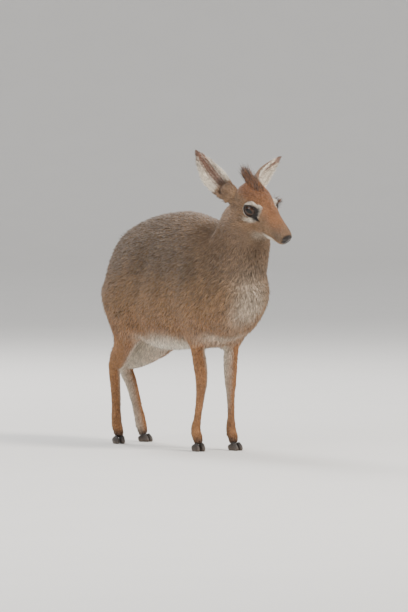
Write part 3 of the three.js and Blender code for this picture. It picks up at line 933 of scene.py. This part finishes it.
def body_regions(root):
    """Which roots are on each leg, on the neck and on each quarter of the trunk."""
    x, forward, up = in_body(root)
    left = x > 0
    regions = {}
    for name, foot in FEET.items():
        near = forward > 25 if foot["forward"] > 0 else forward < -85
        regions["leg_" + name] = (up < 200) & near & (left == (foot["side"] > 0)) & (np.abs(x) > 4)
    taken = np.any(list(regions.values()), axis=0)
    regions["neck"] = ~taken & (forward + 0.9 * (up - 300) > 95)
    rest = ~taken & ~regions["neck"]
    for label, mask in {"fore": forward > -40, "rear": forward <= -40}.items():
        regions[f"trunk_{label}_left"] = rest & left & mask
        regions[f"trunk_{label}_right"] = rest & ~left & mask
    return regions


def head_regions(root):
    ear, side_of = on_an_ear(root)
    x, _, _ = in_head(root)
    on_ear = ear > 0.5
    return {
        "ear_left": on_ear & (side_of > 0), "ear_right": on_ear & (side_of < 0),
        "head_left": ~on_ear & (x > 0), "head_right": ~on_ear & (x <= 0),
    }


def grow(skin, density_at, growth_at, regions_of, seed, look):
    """The coat of one of the two skins, as a piece for each region."""
    grown = coat_of(*skin, density_at, growth_at, seed)
    for region, which in regions_of(grown["root"]).items():
        some = {key: value[which] for key, value in grown.items()}
        slot = "ear" if region.startswith("ear") else "tan_coat" if region[:3] in ("leg", "hea") else "coat"
        tuft_piece("coat_" + region, some, coat_map(some["root"], region), look, slot)


def crest_tufts(points, quads, normals):
    """Long hairs on the crown that lean together to a peak at the back and stay shorter at the front."""
    middle = points[quads].mean(1)
    x, forward, up = in_head(middle)
    front, back = CREST["forward"] + 26, CREST["forward"] - 14
    spot = (x / 11) ** 2 + ((forward - (front + back) / 2) / (0.5 * (front - back))) ** 2
    density = 1.5 * (spot < 1) * (up > 5)
    face, root = sown(points, quads, density, 31)
    made = np.random.default_rng(32)
    x, forward, _ = in_head(root)
    count = len(root)
    peak = on_head(0, CREST["forward"] - 0.92 * CREST["length"], CREST["up"] + 9)
    reach = peak - root
    far = np.linalg.norm(reach, axis=1)
    whole = ramp(forward, front, back + 8)
    way = unit(reach) + 0.13 * made.normal(size=(count, 3)) + (0.35 * (1 - whole))[:, None] * HEAD_AXES[:, 2]
    lie = unit(way)
    normal = unit(np.cross(lie, np.cross(normals[quads].mean(1)[face], lie)))
    inner = whole * np.clip(1.15 - (x / 9) ** 2, 0.35, 1)
    length = (9 + (far - 9) * inner) * made.triangular(0.45, 0.9, 1.1, count)
    colour = np.where((made.random(count) < 0.35)[:, None], DARK * 1.5, CROWN)
    return {
        "root": root, "normal": normal, "lie": lie, "length": length, "width": np.full(count, 0.8),
        "lift": np.full(count, 0.06), "droop": made.uniform(-0.05, 0.06, count),
        "colour": colour * made.uniform(0.65, 1.35, count)[:, None],
        "root_shade": np.full(count, 0.9), "tip_shade": np.full(count, 0.5),
    }


def joined(rows):
    return {key: np.concatenate([row[key] for row in rows]) for key in rows[0]}


def hair_row(root, way, length, width, bend, tone):
    """Single coarse hairs, such as lashes and whiskers: a root, a direction and a bend each."""
    count = len(root)
    normal = unit(np.cross(way, np.cross(bend, way)))
    return {
        "root": root, "normal": normal, "lie": unit(way), "length": length, "width": np.full(count, width),
        "lift": np.full(count, 0.02), "droop": np.full(count, -0.13), "colour": np.tile(tone, (count, 1)),
        "root_shade": np.ones(count), "tip_shade": np.ones(count),
    }


def lashes():
    """A row of hairs on the rim of each upper lid."""
    rows = []
    made = np.random.default_rng(41)
    for side in (1, -1):
        eye = EYES[side]
        front = np.linspace(-0.7, 0.62, 46)
        high = 0.64 * (1 - 0.3 * front) * np.sqrt(1 - (front / 0.8) ** 2) * 1.04
        out = np.sqrt(np.clip(1 - front ** 2 - high ** 2, 0, 1))
        v = front[:, None] * eye["front"] + high[:, None] * eye["up"] + out[:, None] * eye["out"]
        root = eye["at"] + v * (EYE["radius"] + 0.9)
        way = v * 0.7 + eye["out"] * 0.5 + eye["front"] * front[:, None] * 0.5 - eye["up"] * 0.1
        way = unit(way) + 0.12 * made.normal(size=way.shape)
        length = (9.5 - 3.5 * np.abs(front)) * made.uniform(0.65, 1.2, len(front))
        rows.append(hair_row(root, unit(way), length, 0.3, eye["up"], DARK * 0.35))
    return joined(rows)


def brow_hairs():
    """Bristles that stand out over the eyes."""
    rows = []
    made = np.random.default_rng(43)
    for side in (1, -1):
        eye = EYES[side]
        count = 70
        front, high = made.uniform(-0.5, 0.6, count), made.uniform(0.72, 0.9, count)
        out = np.sqrt(np.clip(1.02 - front ** 2 - high ** 2, 0.02, 1))
        v = unit(front[:, None] * eye["front"] + high[:, None] * eye["up"] + out[:, None] * eye["out"])
        root = eye["at"] + v * (EYE["radius"] + 3.2)
        way = unit(v * 0.6 + eye["out"] * 0.6 + 0.3 * made.normal(size=v.shape))
        length = made.uniform(4, 11, count)
        rows.append(hair_row(root, way, length, 0.32, eye["up"], CROWN * 0.6))
    return joined(rows)


def eyeball(side):
    """A ball in its lids, with its own front, up and out at each point for the iris and pupil."""
    eye = EYES[side]
    play = 0.02
    tilt = np.linspace(0, math.pi, 33)[1:-1, None]
    turn = np.linspace(0, 2 * math.pi, 48, endpoint=False)
    rings = np.stack([np.sin(tilt) * np.cos(turn), np.sin(tilt) * np.sin(turn), np.cos(tilt) + 0 * turn], -1)
    local, faces = ringed([0, 0, 1], rings, [0, 0, -1])
    axes = np.stack([eye["front"] * side, eye["up"], eye["out"]])
    points = eye["at"] + (EYE["radius"] - play) * local @ axes
    obj = new_mesh("eyeball_left" if side > 0 else "eyeball_right", points, faces)
    set_attribute(obj, "gaze", "FLOAT_VECTOR", local)
    return obj


def hoof(name):
    """One claw of a foot, rounded, with a flat sole."""
    margin = 4
    low, high = (np.array(c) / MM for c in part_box(name))
    low, high = low - margin, high + margin
    shape = tuple(int(n) for n in np.ceil((high - low) / HOOF_VOXEL))
    field = blurred(distances(*node_mesh([name]), low, shape, HOOF_VOXEL, margin), SMOOTHING["hoof"])
    _, _, up = in_body(grid_points(low, shape, HOOF_VOXEL))
    field = np.maximum(field, -up.astype(np.float32))
    points, quads = surface(field, low, HOOF_VOXEL)
    return new_mesh(name.replace("claw", "hoof"), points, quads)


def dewclaws(skin_points):
    """Two small horny buttons set into the back of each fetlock, in one mesh."""
    tilt = math.pi * np.linspace(0.04, 0.96, 7)[:, None]
    turn = np.linspace(0, 2 * math.pi, 10, endpoint=False)
    rings = np.stack([
        DEWCLAW["wide"] * np.sin(tilt) * np.cos(turn),
        DEWCLAW["deep"] * np.sin(tilt) * np.sin(turn) - DEWCLAW["lean"] * np.cos(tilt),
        DEWCLAW["tall"] * np.cos(tilt) + 0 * turn,
    ], -1)
    button, button_faces = ringed(rings[0].mean(axis=0), rings, rings[-1].mean(axis=0))
    points, faces = [], []
    for foot in FEET.values():
        axes = turned(2, foot["turn"])
        ankle = place(foot["x"], foot["forward"], DEWCLAW["up"])
        near = np.hypot(*(skin_points - ankle)[:, :2].T) < 25
        band = skin_points[near & (np.abs(skin_points[:, 2] - DEWCLAW["up"]) < 3)]
        middle = (band.min(axis=0) + band.max(axis=0)) / 2 * [1, 1, 0]
        level = band * [1, 1, 0] - middle
        for side in (1, -1):
            out = axes @ unit([side * 0.55, 0.83, 0])
            reach = np.median(level[unit(level) @ out > 0.94] @ out)
            centre = middle + [0, 0, DEWCLAW["up"]] + out * (reach - DEWCLAW["sunk"])
            faces.append(button_faces + len(button) * len(points))
            points.append(centre + button @ axes.T)
    return new_mesh("dewclaws", np.concatenate(points), np.concatenate(faces))


# The studio.
def add_camera():
    target = place(0, CAMERA["forward"], CAMERA["up"]) * MM
    a, e = math.radians(CAMERA["azimuth"]), math.radians(CAMERA["elevation"])
    away = np.array([math.sin(a) * math.cos(e), -math.cos(a) * math.cos(e), math.sin(e)])
    data = bpy.data.cameras.new("camera")
    data.sensor_fit = "AUTO"
    data.sensor_width = 36
    data.lens = data.sensor_width * CAMERA["distance"] / CAMERA["frame_height"]
    data.clip_start, data.clip_end = 0.1, 100
    camera = bpy.data.objects.new("camera", data)
    bpy.context.scene.collection.objects.link(camera)
    camera.location = target + away * CAMERA["distance"]
    camera.rotation_euler = (math.pi / 2 - e, 0, a)
    bpy.context.scene.camera = camera


def add_light(name, at, size, power, colour):
    """A soft round light that faces the middle of her body."""
    data = bpy.data.lights.new(name, "AREA")
    data.shape, data.size, data.energy, data.color = "DISK", size, power, colour
    light = bpy.data.objects.new(name, data)
    bpy.context.scene.collection.objects.link(light)
    light.location = at
    toward = [0, 0, 0.2] - np.array(at)
    yaw, pitch = math.atan2(toward[1], toward[0]), math.atan2(toward[2], math.hypot(toward[0], toward[1]))
    light.rotation_euler = (math.pi / 2 + pitch, 0, yaw - math.pi / 2)


def studio_shell():
    """A floor that curves up into a round wall far away, in one surface. Its own sizes are in metres."""
    flat, bend, height, sides, steps = 11.0, 4.0, 9.0, 96, 12
    profile = [(1.0, 0.0), (4.0, 0.0), (flat, 0.0)]
    for step in range(1, steps + 1):
        a = math.pi / 2 * step / steps
        profile.append((flat + bend * math.sin(a), bend * (1 - math.cos(a))))
    profile.append((flat + bend, height))
    turn = np.linspace(0, 2 * math.pi, sides, endpoint=False)
    rings = np.array([[[out * math.cos(t), out * math.sin(t), up] for t in turn] for out, up in profile])
    return new_mesh("floor", *ringed([0, 0, 0], rings / MM))


def add_studio():
    floor = studio_shell()
    made, tree, shader = material("pale_floor", 0.9, 0.1)
    cloud = noise(tree, object_place(tree), 6.0, 3.0)
    paint = painted(tree, cloud, (0.70, 0.68, 0.65), (0.73, 0.71, 0.68))
    tree.links.new(paint, shader.inputs["Base Color"])
    floor.data.materials.append(made)
    world = bpy.data.worlds.new("studio")
    bpy.context.scene.world = world
    world.use_nodes = True
    sky = world.node_tree.nodes["Background"]
    sky.inputs["Color"].default_value = (0.9, 0.92, 0.95, 1)
    sky.inputs["Strength"].default_value = 1.1
    for name, light in LIGHTS.items():
        add_light(name, **light)


def kept_side(points, quads, side):
    """The part of a skin on one side of the collar, with a thin overlap, and its normals."""
    overlap = 1.5
    quads = quads[side * above_collar(points[quads].mean(1)) > -overlap]
    kept, quads = np.unique(quads, return_inverse=True)
    points, quads = points[kept], quads.reshape(-1, 4)
    return points, quads, vertex_normals(points, quads)


def main():
    add_camera()
    add_studio()
    coat, skin_look, horn, eye_look = coat_material("coat"), skin_material(), horn_material(), eye_material()
    body = kept_side(*body_skin(), -1)
    head = kept_side(*head_skin(), 1)
    points = np.concatenate([body[0], head[0]])
    quads = np.concatenate([body[1], head[1] + len(body[0])])
    normals = np.concatenate([body[2], head[2]])
    skin = new_mesh("skin", points, quads)
    set_colours(skin, markings(points, normals) * 0.8)
    set_attribute(skin, "bare", "FLOAT", bare(points))
    finished(skin, skin_look, "coat", *FLESH, "ear_left", "ear_right")

    grow(body, body_density, body_growth, body_regions, 11, coat)
    grow(head, head_density, head_growth, head_regions, 12, coat)
    crest = crest_tufts(*head)
    tuft_piece("coat_crest", crest, coat_map(crest["root"], "head"), coat, "crest", "crest")
    for name, hairs in [("eye_lashes", lashes()), ("brow_hairs", brow_hairs())]:
        tuft_piece(name, hairs, coat_map(hairs["root"], "head"), coat, "crest")

    for side, label in [(1, "left"), (-1, "right")]:
        finished(eyeball(side), eye_look, "eye", "eye_" + label)
    finished(dewclaws(body[0]), horn, "horn")
    for where in FEET:
        for which in ("outer", "inner"):
            name = f"claw_{where}_{which}"
            finished(hoof(name), horn, "horn", name)


main()
